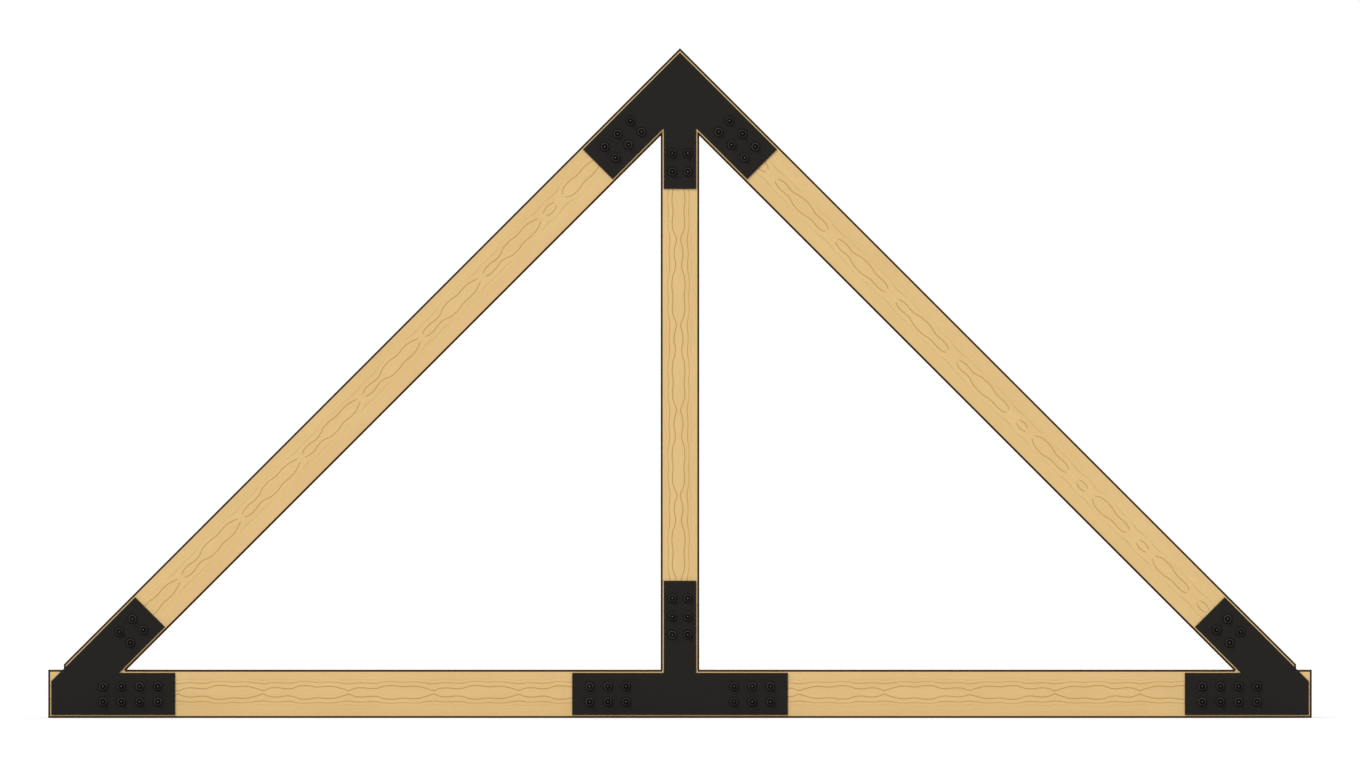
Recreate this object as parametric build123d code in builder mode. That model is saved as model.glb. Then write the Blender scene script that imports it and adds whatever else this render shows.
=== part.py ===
from build123d import *
import os
from math import cos, radians, sin, tan

# King post roof truss: a bottom chord, two rafters and a king post of planed softwood.
# Flat steel plates lie on both faces of each joint, and bolts pass through plates and timber.
# Millimetres. The origin is the middle of the bottom chord's underside.
# X runs along the span, Y through the thickness with the front at -Y, and Z is up.

# Timbers
span = 5250.0               # length of the bottom chord
timber_thickness = 160.0    # every timber, front face to back face
chord_depth = 200.0
rafter_depth = 200.0        # square to the slope
post_width = 160.0
roof_pitch = 45.0           # slope of the rafters, in degrees
nose_setback = 65.0         # end of the chord to the rafter's plumb nose
nose_height = 23.0          # plumb nose, above the chord
arris = 3.0                 # chamfer along the timbers' long edges

# Steel plates, alike on the front and the back
plate_thickness = 6.0
plate_margin = 12.5         # edge of the timber to edge of the plate
plate_chamfer = 1.0         # round the plate's outer face
apex_arm_length = 583.0     # peak of the truss to the arm's square end, along the slope
apex_stem_length = 585.0    # peak of the truss to the stem's lower end
heel_arm_length = 407.0     # rafter's nose to the arm's square end, along the slope
heel_plate_length = 515.0   # along the chord
foot_arm_length = 448.0     # middle of the post to the arm's end
foot_stem_length = 370.0    # top of the chord to the stem's upper end

# Bolt pattern: pairs of bolts across each arm, set in from the arm's end
bolt_end_distance = 72.0
bolt_pitch = 76.0           # one pair to the next, along the arm
bolt_gauge = 64.0           # the two bolts of a pair, across the arm
apex_rafter_pairs = 3
apex_post_pairs = 2
heel_rafter_pairs = 2
heel_chord_pairs = 4
foot_post_pairs = 3
foot_chord_pairs = 3

# Hexagon bolts with their head at the back, nuts at the front and washers under both
bolt_diameter = 16.0
bolt_projection = 7.0       # bolt's end beyond the nut
bolt_end_chamfer = 1.5
hole_clearance = 1.0        # hole's diameter over the bolt's
thread_clearance = 0.2      # nut's bore over the bolt's diameter
head_height = 10.0
nut_height = 13.0
across_flats = 24.0         # hexagon of heads and nuts
flats_to_face = 1.2         # across flats, less the turned circle on the hexagon's face
hexagon_chamfer = 30.0      # turned corners of the hexagon, in degrees from its face
washer_diameter = 40.0
washer_thickness = 4.0

# Values that follow from these
slope_cos = cos(radians(roof_pitch))
slope_sin = sin(radians(roof_pitch))
slope_tan = tan(radians(roof_pitch))
nose_x = span / 2 - nose_setback
peak_height = chord_depth + nose_height + nose_x * slope_tan
slope_length = nose_x / slope_cos
stem_half_width = post_width / 2 - plate_margin
plate_end_x = span / 2 - plate_margin
hole_diameter = bolt_diameter + hole_clearance
half_stack = timber_thickness / 2 + plate_thickness + washer_thickness
bolt_length = 2 * half_stack + nut_height + bolt_projection
timber_faces = (
    ("front", Plane.XZ.offset(timber_thickness / 2), plate_thickness),
    ("back", Plane.XZ.offset(-timber_thickness / 2), -plate_thickness),
)

LEFT = -1
RIGHT = 1
SIDES = (("left", LEFT), ("right", RIGHT))


def slope_height(x, depth):
    """Height, at x from the middle, of the line that lies depth below the rafters' top edge."""
    return peak_height - x * slope_tan - depth / slope_cos


def slope_reach(height, depth):
    """Distance from the middle at which that same line comes down to the height."""
    return (peak_height - depth / slope_cos - height) / slope_tan


def slope_point(side, distance, depth):
    """Point at a distance down the slope from the peak, and depth square into the rafter."""
    x = side * (distance * slope_cos - depth * slope_sin)
    return (x, peak_height - distance * slope_sin - depth * slope_cos)


def bolt_group(end, angle, pairs):
    """Middle of a group of bolt pairs that starts at the middle of an arm's square end."""
    reach = bolt_end_distance + (pairs - 1) * bolt_pitch / 2
    x = end[0] + reach * cos(radians(angle))
    z = end[1] + reach * sin(radians(angle))
    return (Location((x, z, 0), (0, 0, angle)), pairs)


def side_groups(name, side):
    """Bolt groups on one side of the middle: rafter ends, chord end and foot of the post."""
    upslope = roof_pitch if side == LEFT else 180 - roof_pitch
    outward = 180 if side == LEFT else 0
    apex_end = slope_point(side, apex_arm_length, rafter_depth / 2)
    heel_end = slope_point(side, slope_length - heel_arm_length, rafter_depth / 2)
    chord_end = (side * (plate_end_x - heel_plate_length), chord_depth / 2)
    foot_end = (side * foot_arm_length, chord_depth / 2)
    return {
        "apex_" + name: bolt_group(apex_end, upslope, apex_rafter_pairs),
        "heel_" + name + "_rafter": bolt_group(heel_end, upslope + 180, heel_rafter_pairs),
        "heel_" + name + "_chord": bolt_group(chord_end, outward, heel_chord_pairs),
        "foot_" + name: bolt_group(foot_end, outward + 180, foot_chord_pairs),
    }


bolt_groups = {
    **side_groups("left", LEFT),
    **side_groups("right", RIGHT),
    "apex_post": bolt_group((0, peak_height - apex_stem_length), 90, apex_post_pairs),
    "foot_post": bolt_group((0, chord_depth + foot_stem_length), -90, foot_post_pairs),
}


def cut_bolt_holes(groups):
    """Cut the holes of the named bolt groups from the sketch in hand."""
    for group in groups:
        middle, pairs = bolt_groups[group]
        with Locations(middle):
            with GridLocations(bolt_pitch, bolt_gauge, pairs, 2):
                Circle(hole_diameter / 2, mode=Mode.SUBTRACT)


def make_timber(name, outline, grain, groups):
    """A timber cut to its outline and drilled, with the edges along its grain eased."""
    with BuildPart() as timber:
        with BuildSketch(Plane.XZ):
            with BuildLine():
                Polyline(*outline, close=True)
            make_face()
            cut_bolt_holes(groups)
        extrude(amount=timber_thickness / 2, both=True)
        chamfer(timber.edges().filter_by(grain), length=arris)
    timber.part.label = name
    export_step(timber.part, "parts/" + name + ".step")


def make_plate(name, outline, groups):
    """A like plate for each face, with the edges of its outer face broken."""
    for face_name, face, thickness in timber_faces:
        with BuildPart() as plate:
            with BuildSketch(face):
                with BuildLine():
                    Polyline(*outline, close=True)
                make_face()
                cut_bolt_holes(groups)
            extrude(amount=thickness)
            outer_face = plate.faces().sort_by(lambda side: abs(side.center().Y))[-1]
            chamfer(outer_face.outer_wire().edges(), length=plate_chamfer)
        plate.part.label = name + "_" + face_name
        export_step(plate.part, "parts/" + plate.part.label + ".step")


def mirrored(half):
    """Outline of the left half, carried on through its mirror image."""
    return half + [(-x, z) for x, z in reversed(half) if x != 0]


def turned_hexagon(height):
    """Hexagon block standing on XY, its upper corners turned down to a circle."""
    corner = across_flats / 2 / cos(radians(30))
    face = (across_flats - flats_to_face) / 2
    fall = (corner - face) * tan(radians(hexagon_chamfer))
    with BuildPart() as block:
        with BuildSketch():
            RegularPolygon(across_flats / 2, 6, major_radius=False)
        extrude(amount=height)
        with BuildSketch(Plane.XZ):
            with BuildLine():
                Polyline((0, 0), (corner, 0), (corner, height - fall), (face, height), (0, height), close=True)
            make_face()
        revolve(axis=Axis.Z, mode=Mode.INTERSECT)
    return block.part


os.makedirs("parts", exist_ok=True)

# Bottom chord
make_timber(
    "bottom_chord",
    [(-span / 2, 0), (span / 2, 0), (span / 2, chord_depth), (-span / 2, chord_depth)],
    Axis.X,
    ["heel_left_chord", "heel_right_chord", "foot_left", "foot_right"],
)

# Rafters, seated on the chord behind a plumb nose and meeting at a plumb cut
for side_name, side in SIDES:
    make_timber(
        "rafter_" + side_name,
        [
            (side * nose_x, chord_depth),
            (side * nose_x, chord_depth + nose_height),
            (0, peak_height),
            (0, slope_height(0, rafter_depth)),
            (side * slope_reach(chord_depth, rafter_depth), chord_depth),
        ],
        Axis((0, 0, 0), (slope_cos, 0, -side * slope_sin)),
        ["apex_" + side_name, "heel_" + side_name + "_rafter"],
    )

# King post, with a square foot on the chord and a point under both rafters
post_shoulder = slope_height(post_width / 2, rafter_depth)
make_timber(
    "king_post",
    mirrored([
        (-post_width / 2, chord_depth),
        (-post_width / 2, post_shoulder),
        (0, slope_height(0, rafter_depth)),
    ]),
    Axis.Z,
    ["apex_post", "foot_post"],
)

# Apex plates: an arm down each rafter and a stem down the post
inner_margin = rafter_depth - plate_margin
make_plate(
    "apex_plate",
    mirrored([
        (-stem_half_width, peak_height - apex_stem_length),
        (-stem_half_width, slope_height(stem_half_width, inner_margin)),
        slope_point(LEFT, apex_arm_length, inner_margin),
        slope_point(LEFT, apex_arm_length, plate_margin),
        (0, slope_height(0, plate_margin)),
    ]),
    ["apex_left", "apex_right", "apex_post"],
)

# Heel plates: along the chord and up the rafter, clipped plumb at the chord's end
chord_plate_top = chord_depth - plate_margin
heel_end_distance = slope_length - heel_arm_length
for side_name, side in SIDES:
    make_plate(
        "heel_plate_" + side_name,
        [
            (side * plate_end_x, plate_margin),
            (side * plate_end_x, slope_height(plate_end_x, plate_margin)),
            slope_point(side, heel_end_distance, plate_margin),
            slope_point(side, heel_end_distance, inner_margin),
            (side * slope_reach(chord_plate_top, inner_margin), chord_plate_top),
            (side * (plate_end_x - heel_plate_length), chord_plate_top),
            (side * (plate_end_x - heel_plate_length), plate_margin),
        ],
        ["heel_" + side_name + "_rafter", "heel_" + side_name + "_chord"],
    )

# Foot plates: along the chord both ways and up the post
make_plate(
    "foot_plate",
    mirrored([
        (-foot_arm_length, plate_margin),
        (-foot_arm_length, chord_plate_top),
        (-stem_half_width, chord_plate_top),
        (-stem_half_width, chord_depth + foot_stem_length),
    ]),
    ["foot_left", "foot_right", "foot_post"],
)

# One bolt, with its head below XY, and one nut, standing on XY
head_block = turned_hexagon(head_height)
nut_block = turned_hexagon(nut_height)

with BuildPart() as bolt:
    add(head_block, rotation=(180, 0, 0))
    with BuildSketch():
        Circle(bolt_diameter / 2)
    extrude(amount=bolt_length)
    chamfer(bolt.faces().sort_by(Axis.Z)[-1].edges(), length=bolt_end_chamfer)

with BuildPart() as nut:
    add(nut_block)
    Hole((bolt_diameter + thread_clearance) / 2)

# Bolts, nuts and washers of each group
for group, (middle, pairs) in bolt_groups.items():
    with BuildPart() as bolts:
        with Locations(Plane.XZ.offset(-half_stack) * middle):
            with GridLocations(bolt_pitch, bolt_gauge, pairs, 2):
                add(bolt.part)
    bolts.part.label = group + "_bolts"
    export_step(bolts.part, "parts/" + bolts.part.label + ".step")

    with BuildPart() as nuts:
        with Locations(Plane.XZ.offset(half_stack) * middle):
            with GridLocations(bolt_pitch, bolt_gauge, pairs, 2):
                add(nut.part)
    nuts.part.label = group + "_nuts"
    export_step(nuts.part, "parts/" + nuts.part.label + ".step")

    with BuildPart() as washers:
        for seat in (half_stack - washer_thickness, -half_stack):
            with BuildSketch(Plane.XZ.offset(seat) * middle):
                with GridLocations(bolt_pitch, bolt_gauge, pairs, 2):
                    Circle(washer_diameter / 2)
                    Circle(hole_diameter / 2, mode=Mode.SUBTRACT)
            extrude(amount=washer_thickness)
    washers.part.label = group + "_washers"
    export_step(washers.part, "parts/" + washers.part.label + ".step")
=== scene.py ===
from math import cos, pi, radians, sin, tan, tau

import bpy
import numpy as np
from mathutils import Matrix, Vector


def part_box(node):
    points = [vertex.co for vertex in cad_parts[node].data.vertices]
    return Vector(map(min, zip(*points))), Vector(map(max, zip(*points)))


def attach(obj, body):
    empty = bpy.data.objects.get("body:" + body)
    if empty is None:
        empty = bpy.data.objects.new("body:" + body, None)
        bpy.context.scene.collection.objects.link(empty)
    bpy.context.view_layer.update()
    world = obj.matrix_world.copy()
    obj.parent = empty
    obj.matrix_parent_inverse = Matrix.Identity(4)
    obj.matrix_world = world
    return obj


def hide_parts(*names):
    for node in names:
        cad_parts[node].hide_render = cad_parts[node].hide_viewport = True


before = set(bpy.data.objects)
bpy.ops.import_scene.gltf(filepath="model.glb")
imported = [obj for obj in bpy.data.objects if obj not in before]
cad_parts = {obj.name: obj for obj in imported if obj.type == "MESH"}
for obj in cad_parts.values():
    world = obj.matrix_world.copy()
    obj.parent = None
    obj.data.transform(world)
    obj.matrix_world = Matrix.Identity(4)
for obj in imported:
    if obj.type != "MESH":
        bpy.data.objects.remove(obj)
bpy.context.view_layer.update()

# King post roof truss of planed softwood, held by black steel plates and M16 bolts.
# Metres, in the frame of the solids: X along the span, the front at -Y, Z up.
# The timbers and plates are the solids themselves with their finishes. Bolts, nuts and
# washers are made here in finer shape, each set where its solid is.

# Heights and widths, read from the solids
_, chord_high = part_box("bottom_chord")
_, rafter_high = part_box("rafter_right")
post_low, post_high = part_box("king_post")
plate_low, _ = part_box("foot_plate_front")
nut_low, nut_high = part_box("foot_left_nuts")
bolt_low, bolt_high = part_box("foot_left_bolts")
_, washer_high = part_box("foot_left_washers")
half_span = chord_high.x
chord_depth = chord_high.z
half_thickness = chord_high.y
nose_x = rafter_high.x
peak_height = rafter_high.z
post_width = post_high.x - post_low.x
roof_pitch = radians(45)
rafter_depth = (peak_height - post_high.z) * cos(roof_pitch)
plate_outer = -plate_low.y   # outer face of the plates, from the middle of the thickness

# Directions: in the plane of the truss, and through it
UP = Vector((0, 0, 1))
RIGHT = Vector((1, 0, 0))
BACK = Vector((0, 1, 0))
UP_LEFT = (UP - RIGHT).normalized()
UP_RIGHT = (UP + RIGHT).normalized()


# Material kit

class Finish:
    """A material under way. Each method adds one node and gives back its output."""

    def __init__(self, name):
        self.material = bpy.data.materials.new(name)
        self.material.use_nodes = True
        self.tree = self.material.node_tree
        self.shader = self.tree.nodes["Principled BSDF"]

    def node(self, kind, inputs=(), **settings):
        """A node with its settings set, and its inputs, by place or name, linked or filled in."""
        made = self.tree.nodes.new("ShaderNode" + kind)
        for name, value in settings.items():
            setattr(made, name, value)
        pairs = inputs.items() if isinstance(inputs, dict) else enumerate(inputs)
        for key, value in pairs:
            self.fill(made.inputs[key], value)
        return made

    def fill(self, socket, value):
        """Link a socket to another node's output, or set its value."""
        if isinstance(value, bpy.types.NodeSocket):
            self.tree.links.new(value, socket)
        elif value is not None:
            socket.default_value = value

    def math(self, operation, *values):
        return self.node("Math", values, operation=operation).outputs[0]

    def total(self, first, *others):
        """Sum of all the values."""
        for other in others:
            first = self.math("ADD", first, other)
        return first

    def product(self, first, *others):
        """Product of all the values."""
        for other in others:
            first = self.math("MULTIPLY", first, other)
        return first

    def dot(self, vector, direction):
        return self.node("VectorMath", (vector, direction), operation="DOT_PRODUCT").outputs["Value"]

    def offset(self, vector, origin):
        return self.node("VectorMath", (vector, origin), operation="SUBTRACT").outputs[0]

    def vector(self, x, y, z):
        return self.node("CombineXYZ", (x, y, z)).outputs[0]

    def place(self):
        """Point of the surface in the frame of the truss."""
        return self.node("TexCoord").outputs["Object"]

    def normal(self):
        """Direction in which the flat face under the point looks."""
        return self.node("NewGeometry").outputs["True Normal"]

    def noise(self, vector, scale, detail=2.0, roughness=0.5):
        """Smooth noise round 0.5, from 0 to 1."""
        inputs = {"Vector": vector, "Scale": scale, "Detail": detail, "Roughness": roughness}
        return self.node("TexNoise", inputs).outputs[0]

    def ramp(self, value, start, end, low=0.0, high=1.0):
        """Smooth step from low at start to high at end."""
        inputs = (value, start, end, low, high)
        return self.node("MapRange", inputs, interpolation_type="SMOOTHSTEP").outputs[0]

    def curve(self, value, points):
        """Smooth curve through given points, each from 0 to 1 both ways."""
        made = self.node("FloatCurve", {"Value": value})
        line = made.mapping.curves[0]
        line.points[0].location = points[0]
        line.points[-1].location = points[-1]
        for point in points[1:-1]:
            line.points.new(*point)
        made.mapping.update()
        return made.outputs[0]

    def mix(self, share, first, second, blend="MIX"):
        """Colour between two colours."""
        made = self.node("Mix", data_type="RGBA", blend_type=blend)
        self.fill(made.inputs[0], share)
        self.fill(made.inputs[6], first)
        self.fill(made.inputs[7], second)
        return made.outputs[2]

    def bump(self, height, distance):
        """Normal of a surface that stands out by height times distance, in metres."""
        return self.node("Bump", {"Height": height, "Distance": distance}).outputs[0]

    def finish(self, **sockets):
        """Set the shader's own sockets, their names written with _ for a space."""
        for name, value in sockets.items():
            self.fill(self.shader.inputs[name.replace("_", " ")], value)
        return self.material


def linear(red, green, blue):
    """A colour as seen on a screen, from 0 to 255, as the shader takes it."""
    seen = np.array((red, green, blue)) / 255
    light = np.where(seen > 0.04045, ((seen + 0.055) / 1.055) ** 2.4, seen / 12.92)
    return (*light.tolist(), 1.0)


# Timber

PINE = linear(224, 191, 134)
PINE_SHADE = linear(207, 171, 113)
PINE_LINE = linear(183, 147, 85)
PINE_END = linear(196, 154, 98)
EDGE_BROWN = linear(34, 16, 2)

ring_gap = 0.00725        # one growth ring to the next
line_half_width = 0.0020  # half the width of the dark line of a ring
swell_period = 0.3538     # the rings swell and shrink again over this length
swell_height = 0.00565    # the full height of the curves below
swell_lag = 0.9           # how much later the swelling comes, over the depth behind the front
unevenness = 0.0012       # of the swelling
pinch_depth = 0.0012      # by which the pinched waist of a lens closes
face_band = 0.008         # dark edge on the front and back faces
side_band = 0.005         # dark edge on the other faces
band_softness = 0.0006
band_raggedness = 0.0004
seat_margin = 0.006       # the band turns the corner by this much into a seat
over_centre = -1.0        # start of a seat that lies across the centre
grain_relief = 0.00025

# One period of the swelling, as place in the period and share of its full height:
# big lobe, dip, lobe, narrow neck, small lobe, dip, big lobe.
CHORD_SWELL = (
    (0.0, 0.84), (0.04, 0.82), (0.14, 0.575), (0.27, 0.70), (0.38, 0.42), (0.46, 0.15),
    (0.5, 0.07), (0.54, 0.17), (0.64, 0.39), (0.79, 0.235), (0.94, 0.79), (1.0, 0.84),
)
POST_SWELL = (
    (0.0, 0.76), (0.05, 0.77), (0.16, 0.56), (0.31, 0.70), (0.4, 0.44), (0.45, 0.2), (0.5, 0.09),
    (0.54, 0.15), (0.6, 0.29), (0.66, 0.365), (0.79, 0.18), (0.84, 0.23), (0.94, 0.66), (1.0, 0.76),
)
RIGHT_SWELL = (
    (0.0, 0.85), (0.03, 0.885), (0.1, 0.79), (0.16, 0.57), (0.215, 0.46), (0.27, 0.48), (0.33, 0.53),
    (0.38, 0.47), (0.43, 0.26), (0.48, 0.1), (0.53, 0.07), (0.58, 0.17), (0.64, 0.37), (0.71, 0.48),
    (0.77, 0.40), (0.82, 0.36), (0.88, 0.50), (0.95, 0.78), (1.0, 0.85),
)


class Softwood(Finish):
    """Planed softwood cut round the heart of the log.

    The pith is a line along the grain. Growth rings lie round it, ring_gap apart, and all of
    them swell and shrink together along the grain. A ring shows as a dark line where a face
    cuts it. So a flat face shows a chain of long lenses down its middle, with fainter lines
    beside it, and the end shows circles.
    """

    def __init__(self, name, grain, across, pith):
        """The grain and the direction across it lie in the plane of the truss."""
        super().__init__(name)
        self.point = self.place()
        self.facing = self.normal()
        from_pith = self.offset(self.point, pith)
        self.along = self.dot(from_pith, grain)
        self.sideways = self.dot(from_pith, across)
        self.through = self.dot(self.point, BACK)
        sides = self.product(self.sideways, self.sideways), self.product(self.through, self.through)
        self.reach = self.math("SQRT", self.total(*sides))
        self.end_grain = self.ramp(self.math("ABSOLUTE", self.dot(self.facing, grain)), 0.4, 0.6)
        depth_of_face = self.total(
            self.product(self.sideways, self.dot(self.facing, across)),
            self.product(self.through, self.dot(self.facing, BACK)),
        )
        slope = self.math("DIVIDE", depth_of_face, self.reach)
        self.cut = self.math("SQRT", self.math("SUBTRACT", 1.002, self.product(slope, slope)))

    def run_from_ends(self, left_extra, start):
        """Run of a swelling that comes in from both ends, further on in the left half."""
        left_half = self.math("LESS_THAN", self.along, 0.0)
        shift = self.math("MULTIPLY_ADD", left_half, left_extra, start)
        return self.math("SUBTRACT", shift, self.math("ABSOLUTE", self.along))

    def swelling(self, run, swell_curve, sink, pinch):
        """How far the rings stand out from their mean, with the front as the curve gives it.

        A pinch is the place in the period of the waist that closes, and the two places along
        the grain between which this sets in.
        """
        late = self.product(self.total(self.through, half_thickness), swell_lag)
        turns = self.product(self.total(run, late), 1 / swell_period)
        period = self.math("FRACT", self.total(turns, 0.5))
        uneven = self.product(self.total(self.noise(self.point, 9.0, 1.0), -0.5), unevenness)
        swell = self.total(self.product(self.curve(period, swell_curve), swell_height), uneven, -sink)
        if pinch:
            waist, start, end = pinch
            from_waist = self.math("ABSOLUTE", self.math("SUBTRACT", period, waist))
            near_waist = self.ramp(from_waist, 0.17, 0.03)
            closing = self.product(self.ramp(self.along, start, end), near_waist, -pinch_depth)
            swell = self.total(swell, closing)
        return swell

    def ring_lines(self, swell, fade, graze):
        """The dark lines of the rings, clear in the middle of a face and fainter beside it.

        A line is as wide as the ring's own line over the slope at which the face cuts it. It
        fades over the two distances from the middle, and is left out nearer than graze.
        """
        rings = self.total(self.reach, -half_thickness, self.product(swell, -1.0))
        count = self.product(rings, 1 / ring_gap)
        off_count = self.math("ABSOLUTE", self.math("SUBTRACT", count, self.math("ROUND", count)))
        width = self.math("DIVIDE", self.product(off_count, ring_gap), self.cut)
        line = self.ramp(width, 1.5 * line_half_width, 0.5 * line_half_width)
        from_middle = self.product(self.reach, self.cut)
        beside = self.product(
            self.ramp(from_middle, fade[0], fade[1], 1.0, 0.06),
            self.ramp(from_middle, 0.6 * graze, graze),
        )
        strength = self.math("MAXIMUM", beside, self.product(self.end_grain, 0.8))
        return self.product(line, strength)

    def streaks(self, stretch, fine, detail, roughness):
        """Noise in streaks along the grain, at so many a metre along it and across it."""
        cut_up = (
            self.product(self.along, stretch),
            self.product(self.sideways, fine),
            self.product(self.through, fine),
        )
        return self.noise(self.vector(*cut_up), 1.0, detail, roughness)

    def checks(self):
        """Rays and drying checks on the ends, which run out from the pith."""
        ray_place = self.vector(
            self.math("DIVIDE", self.product(self.sideways, 9.0), self.reach),
            self.math("DIVIDE", self.product(self.through, 9.0), self.reach),
            self.product(self.reach, 6.0),
        )
        rays = self.noise(ray_place, 1.0, 4.0, 0.7)
        return self.product(self.ramp(rays, 0.64, 0.70), self.end_grain)

    def past_band(self, across, middle, half_depth, end_x, seats):
        """Distance of a point to the nearest edge, less the width of the dark band there.

        The distance is the middle one of those to the three pairs of faces: front and back,
        the two sides half_depth from the middle line, and the ends at end_x. A seat is a side,
        1 or -1, and two distances from the centre between which another timber sits on it. It
        has no edge to darken, so that side is put a metre further off there.
        """
        to_front = self.math("SUBTRACT", half_thickness, self.math("ABSOLUTE", self.through))
        from_middle = self.dot(self.offset(self.point, middle), across)
        to_side = self.math("SUBTRACT", half_depth, self.math("ABSOLUTE", from_middle))
        from_centre = self.math("ABSOLUTE", self.dot(self.point, RIGHT))
        for side, start, end in seats:
            seated = self.product(
                self.math("GREATER_THAN", self.product(from_middle, side), 0.0),
                self.math("GREATER_THAN", from_centre, start),
                self.math("LESS_THAN", from_centre, end),
            )
            to_side = self.total(to_side, seated)
        to_end = self.math("SUBTRACT", end_x, from_centre)
        least = self.math("MINIMUM", to_front, to_side)
        most = self.math("MAXIMUM", to_front, to_side)
        to_edge = self.math("MAXIMUM", least, self.math("MINIMUM", most, to_end))
        ragged = self.product(self.total(self.noise(self.point, 60.0, 3.0), -0.5), band_raggedness)
        front_or_back = self.math("ABSOLUTE", self.dot(self.facing, BACK))
        band = self.ramp(front_or_back, 0.8, 0.9, side_band, face_band)
        return self.math("SUBTRACT", self.total(to_edge, ragged), band)


def timber_finish(
    name, grain, across, pith, middle, half_depth, end_x,
    swell_curve, sink=0.0, fade=(0.022, 0.046), graze=0.0105, from_ends=None, pinch=None, seats=(),
):
    """Finish of one timber: its grain, its pores, its ends and its dark edges."""
    wood = Softwood(name, grain, across, pith)
    run = wood.run_from_ends(*from_ends) if from_ends else wood.along
    lines = wood.ring_lines(wood.swelling(run, swell_curve, sink, pinch), fade, graze)
    streak = wood.streaks(7.0, 420.0, 3.0, 0.6)
    fibre = wood.streaks(30.0, 1500.0, 2.0, 0.7)
    pits = wood.ramp(wood.streaks(55.0, 1100.0, 1.0, 0.5), 0.63, 0.72)
    pores = wood.product(pits, wood.math("SUBTRACT", 1.0, wood.end_grain))
    broad = wood.streaks(2.6, 13.0, 2.0, 0.5)
    check = wood.checks()
    past_band = wood.past_band(across, middle, half_depth, end_x, seats)
    edge = wood.ramp(past_band, band_softness, -band_softness)

    colour = wood.mix(wood.ramp(broad, 0.3, 0.7, 0.0, 0.22), PINE, PINE_SHADE)
    colour = wood.mix(wood.ramp(streak, 0.35, 0.8, 0.0, 0.28), colour, PINE_SHADE)
    colour = wood.mix(wood.ramp(fibre, 0.3, 0.7, 0.0, 0.30), colour, PINE_SHADE)
    colour = wood.mix(wood.product(pores, 0.35), colour, PINE_LINE)
    colour = wood.mix(wood.product(wood.end_grain, 0.8), colour, PINE_END)
    colour = wood.mix(lines, colour, PINE_LINE)
    colour = wood.mix(check, colour, EDGE_BROWN)
    colour = wood.mix(edge, colour, EDGE_BROWN)

    height = wood.total(
        wood.product(streak, 0.5),
        wood.product(fibre, 0.3),
        wood.product(pores, -0.4),
        wood.product(lines, 0.5),
        wood.product(check, -3.0),
    )
    return wood.finish(
        Base_Color=colour,
        Roughness=wood.ramp(streak, 0.2, 0.8, 0.52, 0.68),
        Specular_IOR_Level=0.15,
        Normal=wood.bump(height, grain_relief),
    )


def dress(node, material):
    """Give a solid its finish."""
    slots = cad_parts[node].data.materials
    slots.clear()
    slots.append(material)


def dress_rafter(side, pith_distance, pith_depth, **growth):
    """Finish of the left (-1) or right (1) rafter.

    A neck of the lenses lies on the pith at a distance down the slope from the peak, and the
    pith lies at a depth square into the rafter.
    """
    name, up_slope, outward = (
        ("rafter_left", UP_RIGHT, UP_LEFT) if side < 0 else ("rafter_right", UP_LEFT, UP_RIGHT)
    )
    on_slope = Vector((0, 0, peak_height)) - up_slope * pith_distance
    dress(name, timber_finish(
        "timber_" + name, up_slope * -side, outward, on_slope - outward * pith_depth,
        on_slope - outward * rafter_depth / 2, rafter_depth / 2, nose_x,
        seats=((-1, over_centre, post_width / 2 - seat_margin),), **growth,
    ))


def dress_timbers():
    """Finish of each timber, with its pith where the lenses run and a neck of them to start from."""
    dress("bottom_chord", timber_finish(
        "timber_chord", RIGHT, UP, (0, 0, 0.1063), (0, 0, chord_depth / 2), chord_depth / 2, half_span,
        CHORD_SWELL, fade=(0.030, 0.062), graze=0.001, from_ends=(0.1747, 0.495),
        seats=(
            (1, over_centre, post_width / 2 - seat_margin),
            (1, post_high.z - chord_depth + seat_margin, nose_x - seat_margin),
        ),
    ))
    dress("king_post", timber_finish(
        "timber_post", -UP, RIGHT, (-0.006, 0, 1.986), (0, 0, 0), post_width / 2, half_span,
        POST_SWELL, fade=(0.030, 0.062), graze=0.001,
    ))
    dress_rafter(-1, 0.900, 0.0915, swell_curve=CHORD_SWELL, sink=0.00055, pinch=(0.79, -0.10, 0.05))
    dress_rafter(1, 0.990, 0.104, swell_curve=RIGHT_SWELL, sink=0.0011, pinch=(0.82, 0.85, 1.10))


# Steel

PLATE_COAT = linear(24, 21, 18)
# Near black, darker than the bolts' coat: a black coat, and painted shade that makes each washer's rim
# read dark
WASHER_COAT_AND_RIM_SHADE = linear(4, 4, 4)
BOLT_COAT = linear(9, 9, 8)
# Bare steel: real wear on turned edges, and the colour of the painted highlights on washers and bolt
# tips
BARE_STEEL_AND_HIGHLIGHT = linear(120, 117, 112)

dust = 1.35               # a dusty place's brightness over the coat's own
peel_height = 0.00012     # orange peel of the coats
ring_softness = 0.0005


def painted_highlight_share(steel, facing, inside, outside, share):
    """Painted highlight: a ring between two distances from the axis, lightened, some pieces more than
    others.
    """
    lot = steel.node("Attribute", attribute_name="lot").outputs["Fac"]
    from_axis = steel.node("Attribute", attribute_name="from_axis").outputs["Fac"]
    return steel.product(
        steel.ramp(from_axis, inside - ring_softness, inside + ring_softness),
        steel.ramp(from_axis, outside + ring_softness, outside - ring_softness),
        steel.ramp(facing, 0.9, 0.98),
        steel.ramp(lot, 0.0, 1.0, 0.7 * share, share),
    )


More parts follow.
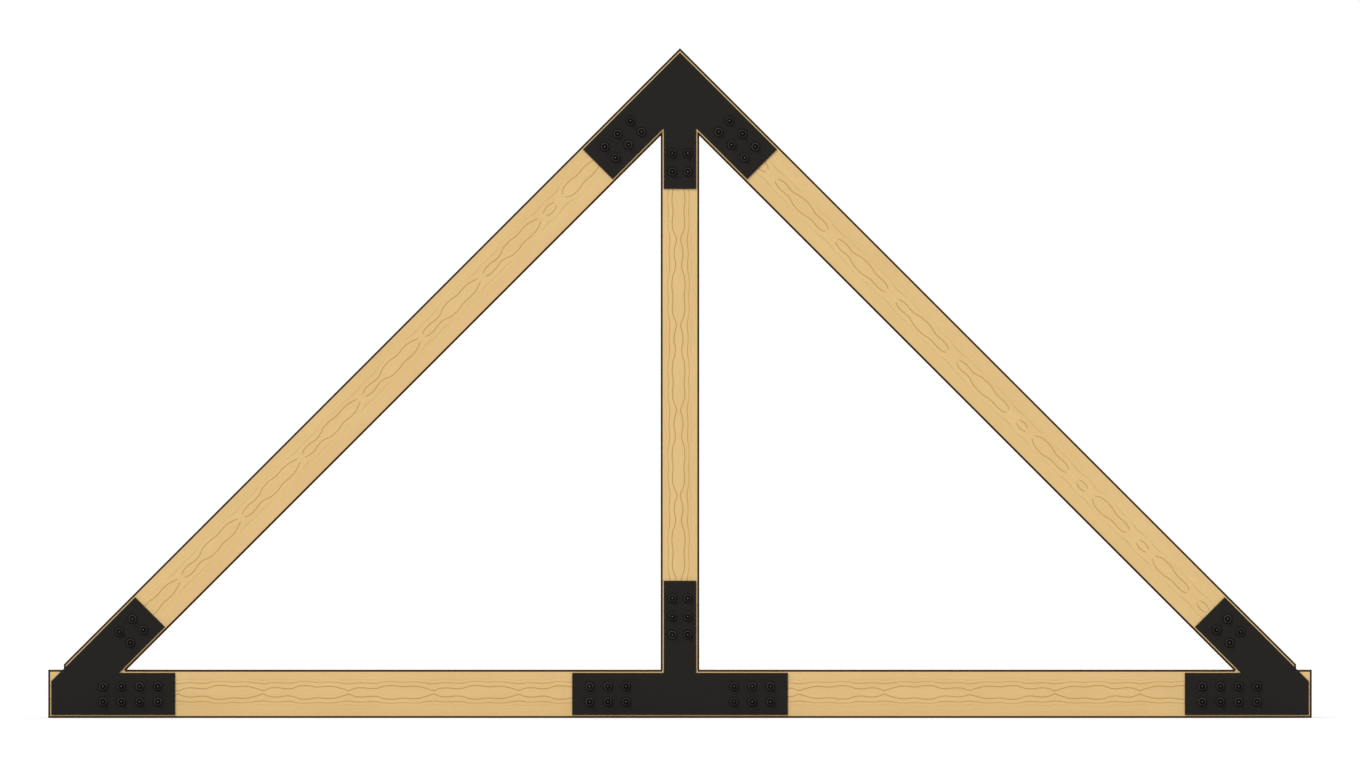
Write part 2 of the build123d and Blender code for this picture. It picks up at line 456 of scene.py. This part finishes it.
def coated_steel(name, coat, wear, roughness, grain, gloss, painted_highlight_ring=None):
    """Black coated steel: fine orange peel, a faint mottle, and wear where the edges are turned.

    A turned piece may have a painted highlight ring: its two distances from the axis, and its share
    of bare steel.
    """
    steel = Finish(name)
    point = steel.place()
    peel = steel.noise(point, grain, 2.0, 0.6)
    mottle = steel.noise(point, 14.0, 3.0)
    facing = steel.math("ABSOLUTE", steel.dot(steel.normal(), BACK))
    turned = steel.product(steel.ramp(facing, 0.25, 0.5), steel.ramp(facing, 0.97, 0.85))
    rubbed = steel.ramp(steel.noise(point, 70.0, 4.0, 0.65), 0.45, 0.62)
    worn = steel.product(turned, rubbed, wear)
    dusty = tuple(dust * part for part in coat[:3]) + (1.0,)
    colour = steel.mix(steel.ramp(mottle, 0.3, 0.7, 0.0, 0.25), coat, dusty)
    speck = steel.ramp(steel.noise(point, 0.6 * grain, 2.0, 0.7), 0.55, 0.72, 0.0, 0.7)
    colour = steel.mix(speck, colour, dusty)
    # Painted highlight: a light ring on the washers and a light dot on the bolt tips, in bare-steel
    # colour
    if painted_highlight_ring:
        colour = steel.mix(painted_highlight_share(steel, facing, *painted_highlight_ring), colour, BARE_STEEL_AND_HIGHLIGHT)
    colour = steel.mix(worn, colour, BARE_STEEL_AND_HIGHLIGHT)
    return steel.finish(
        Base_Color=colour,
        Metallic=steel.product(worn, 0.5),
        Roughness=steel.ramp(mottle, 0.2, 0.8, roughness - 0.06, roughness + 0.06),
        Specular_IOR_Level=gloss,
        Normal=steel.bump(peel, peel_height),
    )


def dress_plates():
    """One powder coat for all eight plates."""
    coat = coated_steel("plate_powder_coat", PLATE_COAT, 0.15, 0.58, 900.0, 0.14)
    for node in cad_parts:
        if "_plate" in node:
            dress(node, coat)


# Fasteners

across_flats = 0.024
face_radius = across_flats / 2 - 0.0006  # turned circle on the hexagon's face
corner_radius = 0.0135                   # the bar's corners are a little blunt
turned_fall = tan(radians(30))           # of the turned corners, over their reach
bolt_radius = 0.008
bore_radius = 0.0081
bore_mouth = 0.0006
washer_radius = 0.020
washer_bore = 0.0085
thread_pitch = 0.002
thread_depth = 0.00123
thread_flat = 1 / 16                     # half a flat of the thread, as a share of the pitch
thread_flank = 5 / 16                    # one flank, as a share of the pitch
thread_rows_per_pitch = 10
end_chamfer = 0.0015
bearing_radius = 0.0113                  # raised ring under the head
bearing_height = 0.0004

# A hexagon as reach over angle: flat sides, closer points where the corners are turned
side_angles = np.array((-30, -27.5, -24, -12, 0, 12, 24, 27.5))
hexagon_angles = np.radians((side_angles + 60 * np.arange(6)[:, None]).ravel())
from_side = (hexagon_angles + pi / 6) % (pi / 3) - pi / 6
hexagon_reach = np.minimum(across_flats / 2 / np.cos(from_side), corner_radius)
hexagon_fall = (hexagon_reach - face_radius).clip(0) * turned_fall
round_angles = np.linspace(0, tau, 40, endpoint=False)
lots = np.random.default_rng(7)


def bolt_places(group):
    """Middle of each bolt of a group, in X and Z, from the rims of the bolts' tips."""
    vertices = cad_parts[group + "_bolts"].data.vertices
    corners = np.empty(len(vertices) * 3)
    vertices.foreach_get("co", corners)
    corners = corners.reshape(-1, 3)
    on_tip = corners[:, 1] < bolt_low.y + 0.0001
    rims = corners[on_tip][:, (0, 2)]
    places = []
    while len(rims):
        same = np.linalg.norm(rims - rims[0], axis=1) < 2 * bolt_radius
        places.append((rims[same].min(axis=0) + rims[same].max(axis=0)) / 2)
        rims = rims[~same]
    return np.array(places)


def grid_faces(rows, columns, closed):
    """Faces of a grid that goes round an axis: closed into a ring, or with a pole at each end."""
    index = np.arange(rows * columns).reshape(rows, columns)
    upper = index if closed else index[:-1]
    lower = np.roll(index, -1, axis=0) if closed else index[1:]
    around = (upper, np.roll(upper, -1, 1), np.roll(lower, -1, 1), lower)
    quads = np.stack(around, axis=-1).reshape(-1, 4)
    if closed:
        return quads, np.empty((0, 3), int)
    first, last = index[0], index[-1]
    pole = rows * columns
    start = np.stack((np.full(columns, pole), np.roll(first, -1), first), axis=-1)
    end = np.stack((np.full(columns, pole + 1), last, np.roll(last, -1)), axis=-1)
    return quads, np.concatenate((start, end))


def turned_pieces(name, places, angles, turns, section, closed, material):
    """Like pieces, each round its own axis along Y, in one mesh.

    The section is an array of reach and one of depth. The point in row i and column j of a
    piece lies reach[i, j] from the axis, at angle j plus the piece's turn, at Y = depth[i, j].
    Rows go towards -Y on the outside. Two attributes carry each point's distance from the
    axis, and a number from 0 to 1 that is the piece's own.
    """
    reach, depth = section
    rows, columns = reach.shape
    count = len(places)
    swept = angles + turns[:, None, None]
    points = np.stack((
        places[:, 0, None, None] + reach * np.cos(swept),
        np.broadcast_to(depth, (count, rows, columns)),
        places[:, 1, None, None] + reach * np.sin(swept),
    ), axis=-1).reshape(count, -1, 3)
    ends = () if closed else (depth[0, 0], depth[-1, 0])
    for y in ends:
        pole = np.stack((places[:, 0], np.full(count, y), places[:, 1]), axis=-1)
        points = np.concatenate((points, pole[:, None]), axis=1)
    quads, triangles = grid_faces(rows, columns, closed)
    steps = np.arange(count)[:, None, None] * points.shape[1]
    faces = (quads + steps).reshape(-1, 4).tolist() + (triangles + steps).reshape(-1, 3).tolist()
    mesh = bpy.data.meshes.new(name)
    mesh.from_pydata(points.reshape(-1, 3), (), faces)
    mesh.shade_smooth()
    mesh.set_sharp_from_angle(angle=radians(28))
    attributes = {
        "lot": np.repeat(lots.random(count), points.shape[1]),
        "from_axis": np.tile(np.append(reach.ravel(), [0] * len(ends)), count),
    }
    for attribute, values in attributes.items():
        mesh.attributes.new(attribute, "FLOAT", "POINT").data.foreach_set("value", values)
    mesh.materials.append(material)
    piece = bpy.data.objects.new(name, mesh)
    bpy.context.scene.collection.objects.link(piece)
    return piece


def rows_of(columns, *rows):
    """Arrays of reach and depth from rows of the two, each a number or one value per column."""
    reach = np.array([np.broadcast_to(row[0], columns) for row in rows], float)
    depth = np.array([np.broadcast_to(row[1], columns) for row in rows], float)
    return reach, depth


def thread_section():
    """Screw thread on the bolt's tip, as reach and depth.

    A point's place in the pitch is its depth over the pitch less its angle over a full turn.
    The reach falls from the crest to the root along a flank on each side, with flats between,
    and near the end it is cut by a 45 degree chamfer.
    """
    start = nut_low.y + thread_pitch
    count = int((start - bolt_low.y) / thread_pitch * thread_rows_per_pitch) + 1
    depth = np.linspace(start, bolt_low.y, count)[:, None] + np.zeros(len(hexagon_angles))
    turn = (depth / thread_pitch - hexagon_angles / tau) % 1
    from_crest = np.abs(turn - 0.5)
    fall = ((from_crest - thread_flat) / thread_flank).clip(0, 1)
    chamfered = bolt_radius - end_chamfer + depth - bolt_low.y
    return np.minimum(bolt_radius - thread_depth * fall, chamfered), depth


def bolt_section():
    """Hexagon bolt, as reach and depth: head with a bearing ring, plain shank, threaded tip."""
    top = bolt_high.y
    seat = washer_high.y
    columns = len(hexagon_angles)
    head, head_depth = rows_of(
        columns,
        (face_radius / 2, top),
        (face_radius, top),
        (hexagon_reach, top - hexagon_fall),
        (hexagon_reach, seat + bearing_height),
        (bearing_radius, seat + bearing_height),
        (bearing_radius, seat),
        (bolt_radius, seat),
        (bolt_radius, nut_low.y + thread_pitch * 1.5),
    )
    thread, thread_depths = thread_section()
    end, end_depth = rows_of(columns, (bolt_radius / 3, bolt_low.y))
    return np.concatenate((head, thread, end)), np.concatenate((head_depth, thread_depths, end_depth))


def nut_section():
    """Hexagon nut, as reach and depth: both faces turned, and the mouths of the bore opened."""
    inner, outer = nut_high.y, nut_low.y
    return rows_of(
        len(hexagon_angles),
        (bore_radius + bore_mouth, inner),
        (face_radius, inner),
        (hexagon_reach, inner - hexagon_fall),
        (hexagon_reach, outer + hexagon_fall),
        (face_radius, outer),
        (bore_radius + bore_mouth, outer),
        (bore_radius, outer + bore_mouth),
        (bore_radius, inner - bore_mouth),
    )


def washer_section(side):
    """Stamped washer on the front (-1) or back (1) plates, as reach and depth.

    Its edge is rounded towards the nut or head.
    """
    thickness = washer_high.y - plate_outer
    profile = (
        (washer_bore, 0.0002),
        (washer_bore + 0.0002, 0),
        (washer_radius - 0.0002, 0),
        (washer_radius, 0.0002),
        (washer_radius, 0.55 * thickness),
        (washer_radius - 0.0004, 0.82 * thickness),
        (washer_radius - 0.0014, 0.97 * thickness),
        (washer_radius - 0.0022, thickness),
        (washer_bore + 0.0004, thickness),
        (washer_bore, 0.9 * thickness),
    )
    rows = [(reach, side * (plate_outer + out)) for reach, out in profile]
    return rows_of(len(round_angles), *rows[::-side])


def make_fasteners():
    """Bolts, nuts and washers of every group, in the place of their plain solids."""
    # Painted highlights: a light dot in the middle of each bolt's end, a light ring on each washer
    # round the nut
    tip_painted_highlight = (-0.001, 0.0034, 0.42)
    washer_painted_highlight = (0.0125, 0.0158, 0.42)
    bolt_coat = coated_steel("bolt_black_coat", BOLT_COAT, 0.12, 0.45, 1500.0, 0.03, tip_painted_highlight)
    nut_coat = coated_steel("nut_black_coat", BOLT_COAT, 0.02, 0.45, 1500.0, 0.03)
    washer_coat = coated_steel("washer_coat", WASHER_COAT_AND_RIM_SHADE, 0.02, 0.5, 1500.0, 0.05, washer_painted_highlight)
    kinds = (
        ("_bolts", "_turned", "bolt_steel", hexagon_angles, bolt_section(), False, bolt_coat),
        ("_nuts", "_turned", "bolt_steel", hexagon_angles, nut_section(), True, nut_coat),
        ("_washers", "_front", "washer_steel", round_angles, washer_section(-1), True, washer_coat),
        ("_washers", "_back", "washer_steel", round_angles, washer_section(1), True, washer_coat),
    )
    groups = sorted(node[:-len("_bolts")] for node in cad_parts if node.endswith("_bolts"))
    for group in groups:
        places = bolt_places(group)
        count = len(places)
        for kind, shape, slot, angles, section, closed, coat in kinds:
            node = group + kind
            turns = lots.random(count) * tau if angles is hexagon_angles else np.zeros(count)
            piece = turned_pieces(node + shape, places, angles, turns, section, closed, coat)
            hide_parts(node)
            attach(piece, "root")


dress_timbers()
dress_plates()
make_fasteners()


# Studio

floor_radius = 60.0
floor_sides = 96


def make_floor():
    """Pale floor, a flat disc. To the camera it is white and keeps the soft shadow of the truss."""
    angles = np.linspace(0, tau, floor_sides, endpoint=False)
    rim = np.stack((np.cos(angles), np.sin(angles), np.zeros(floor_sides)), axis=-1) * floor_radius
    mesh = bpy.data.meshes.new("floor")
    mesh.from_pydata(rim, (), [list(range(floor_sides))])
    floor = bpy.data.objects.new("floor", mesh)
    bpy.context.scene.collection.objects.link(floor)
    pale = Finish("floor_white")
    nodes, links = pale.tree.nodes, pale.tree.links
    nodes.remove(pale.shader)
    seen = pale.node("LightPath").outputs["Is Camera Ray"]
    plain = pale.node("BsdfDiffuse", ((0.8, 0.8, 0.8, 1),)).outputs[0]
    soft = pale.node("BsdfDiffuse", ((0.5, 0.5, 0.5, 1),)).outputs[0]
    glow = pale.node("Emission", ((1, 1, 1, 1), 0.46)).outputs[0]
    white = pale.node("AddShader", (soft, glow)).outputs[0]
    surface = pale.node("MixShader", (seen, plain, white)).outputs[0]
    links.new(surface, nodes["Material Output"].inputs["Surface"])
    mesh.materials.append(pale.material)


def make_world(ambient):
    """White behind the truss and in its gloss, and an even light from all round."""
    world = bpy.data.worlds.new("studio")
    world.use_nodes = True
    bpy.context.scene.world = world
    nodes, links = world.node_tree.nodes, world.node_tree.links
    path = nodes.new("ShaderNodeLightPath")
    seen = path.outputs["Is Camera Ray"]
    for ray in ("Is Glossy Ray", "Is Transmission Ray"):
        either = nodes.new("ShaderNodeMath")
        either.operation = "MAXIMUM"
        links.new(seen, either.inputs[0])
        links.new(path.outputs[ray], either.inputs[1])
        seen = either.outputs[0]
    around = nodes["Background"]
    around.inputs["Color"].default_value = (1, 1, 1, 1)
    around.inputs["Strength"].default_value = ambient
    white = nodes.new("ShaderNodeBackground")
    white.inputs["Color"].default_value = (1, 1, 1, 1)
    mixed = nodes.new("ShaderNodeMixShader")
    links.new(seen, mixed.inputs[0])
    links.new(around.outputs[0], mixed.inputs[1])
    links.new(white.outputs[0], mixed.inputs[2])
    links.new(mixed.outputs[0], nodes["World Output"].inputs["Surface"])


def make_lamp(name, azimuth, elevation, strength, spread):
    """A far lamp, spread degrees wide. Azimuth 0 shines from the front, 90 from the right."""
    light = bpy.data.lights.new(name, "SUN")
    light.energy = strength
    light.angle = radians(spread)
    lamp = bpy.data.objects.new(name, light)
    a, e = radians(azimuth), radians(elevation)
    towards = Vector((sin(a) * cos(e), -cos(a) * cos(e), sin(e)))
    lamp.location = towards * 10
    lamp.rotation_mode = "QUATERNION"
    lamp.rotation_quaternion = towards.to_track_quat("Z", "Y")
    bpy.context.scene.collection.objects.link(lamp)


def make_camera():
    """Square in front of the truss, far back, so that the front face shows flat."""
    image_width = 1360
    metres_per_pixel = 0.004155
    image_middle = 1.3918
    distance = 150.0
    data = bpy.data.cameras.new("camera")
    data.lens = data.sensor_width * distance / (image_width * metres_per_pixel)
    data.clip_end = 600.0
    camera = bpy.data.objects.new("camera", data)
    camera.location = (0, -half_thickness - distance, image_middle)
    camera.rotation_euler = (pi / 2, 0, 0)
    bpy.context.scene.collection.objects.link(camera)
    bpy.context.scene.camera = camera


make_floor()
make_world(0.44)
make_lamp("key", -35, 42, 1.65, 25)
make_lamp("fill", 45, 15, 0.45, 60)
make_lamp("back", 150, 50, 1.2, 60)
make_camera()
bpy.context.scene.view_settings.view_transform = "Standard"
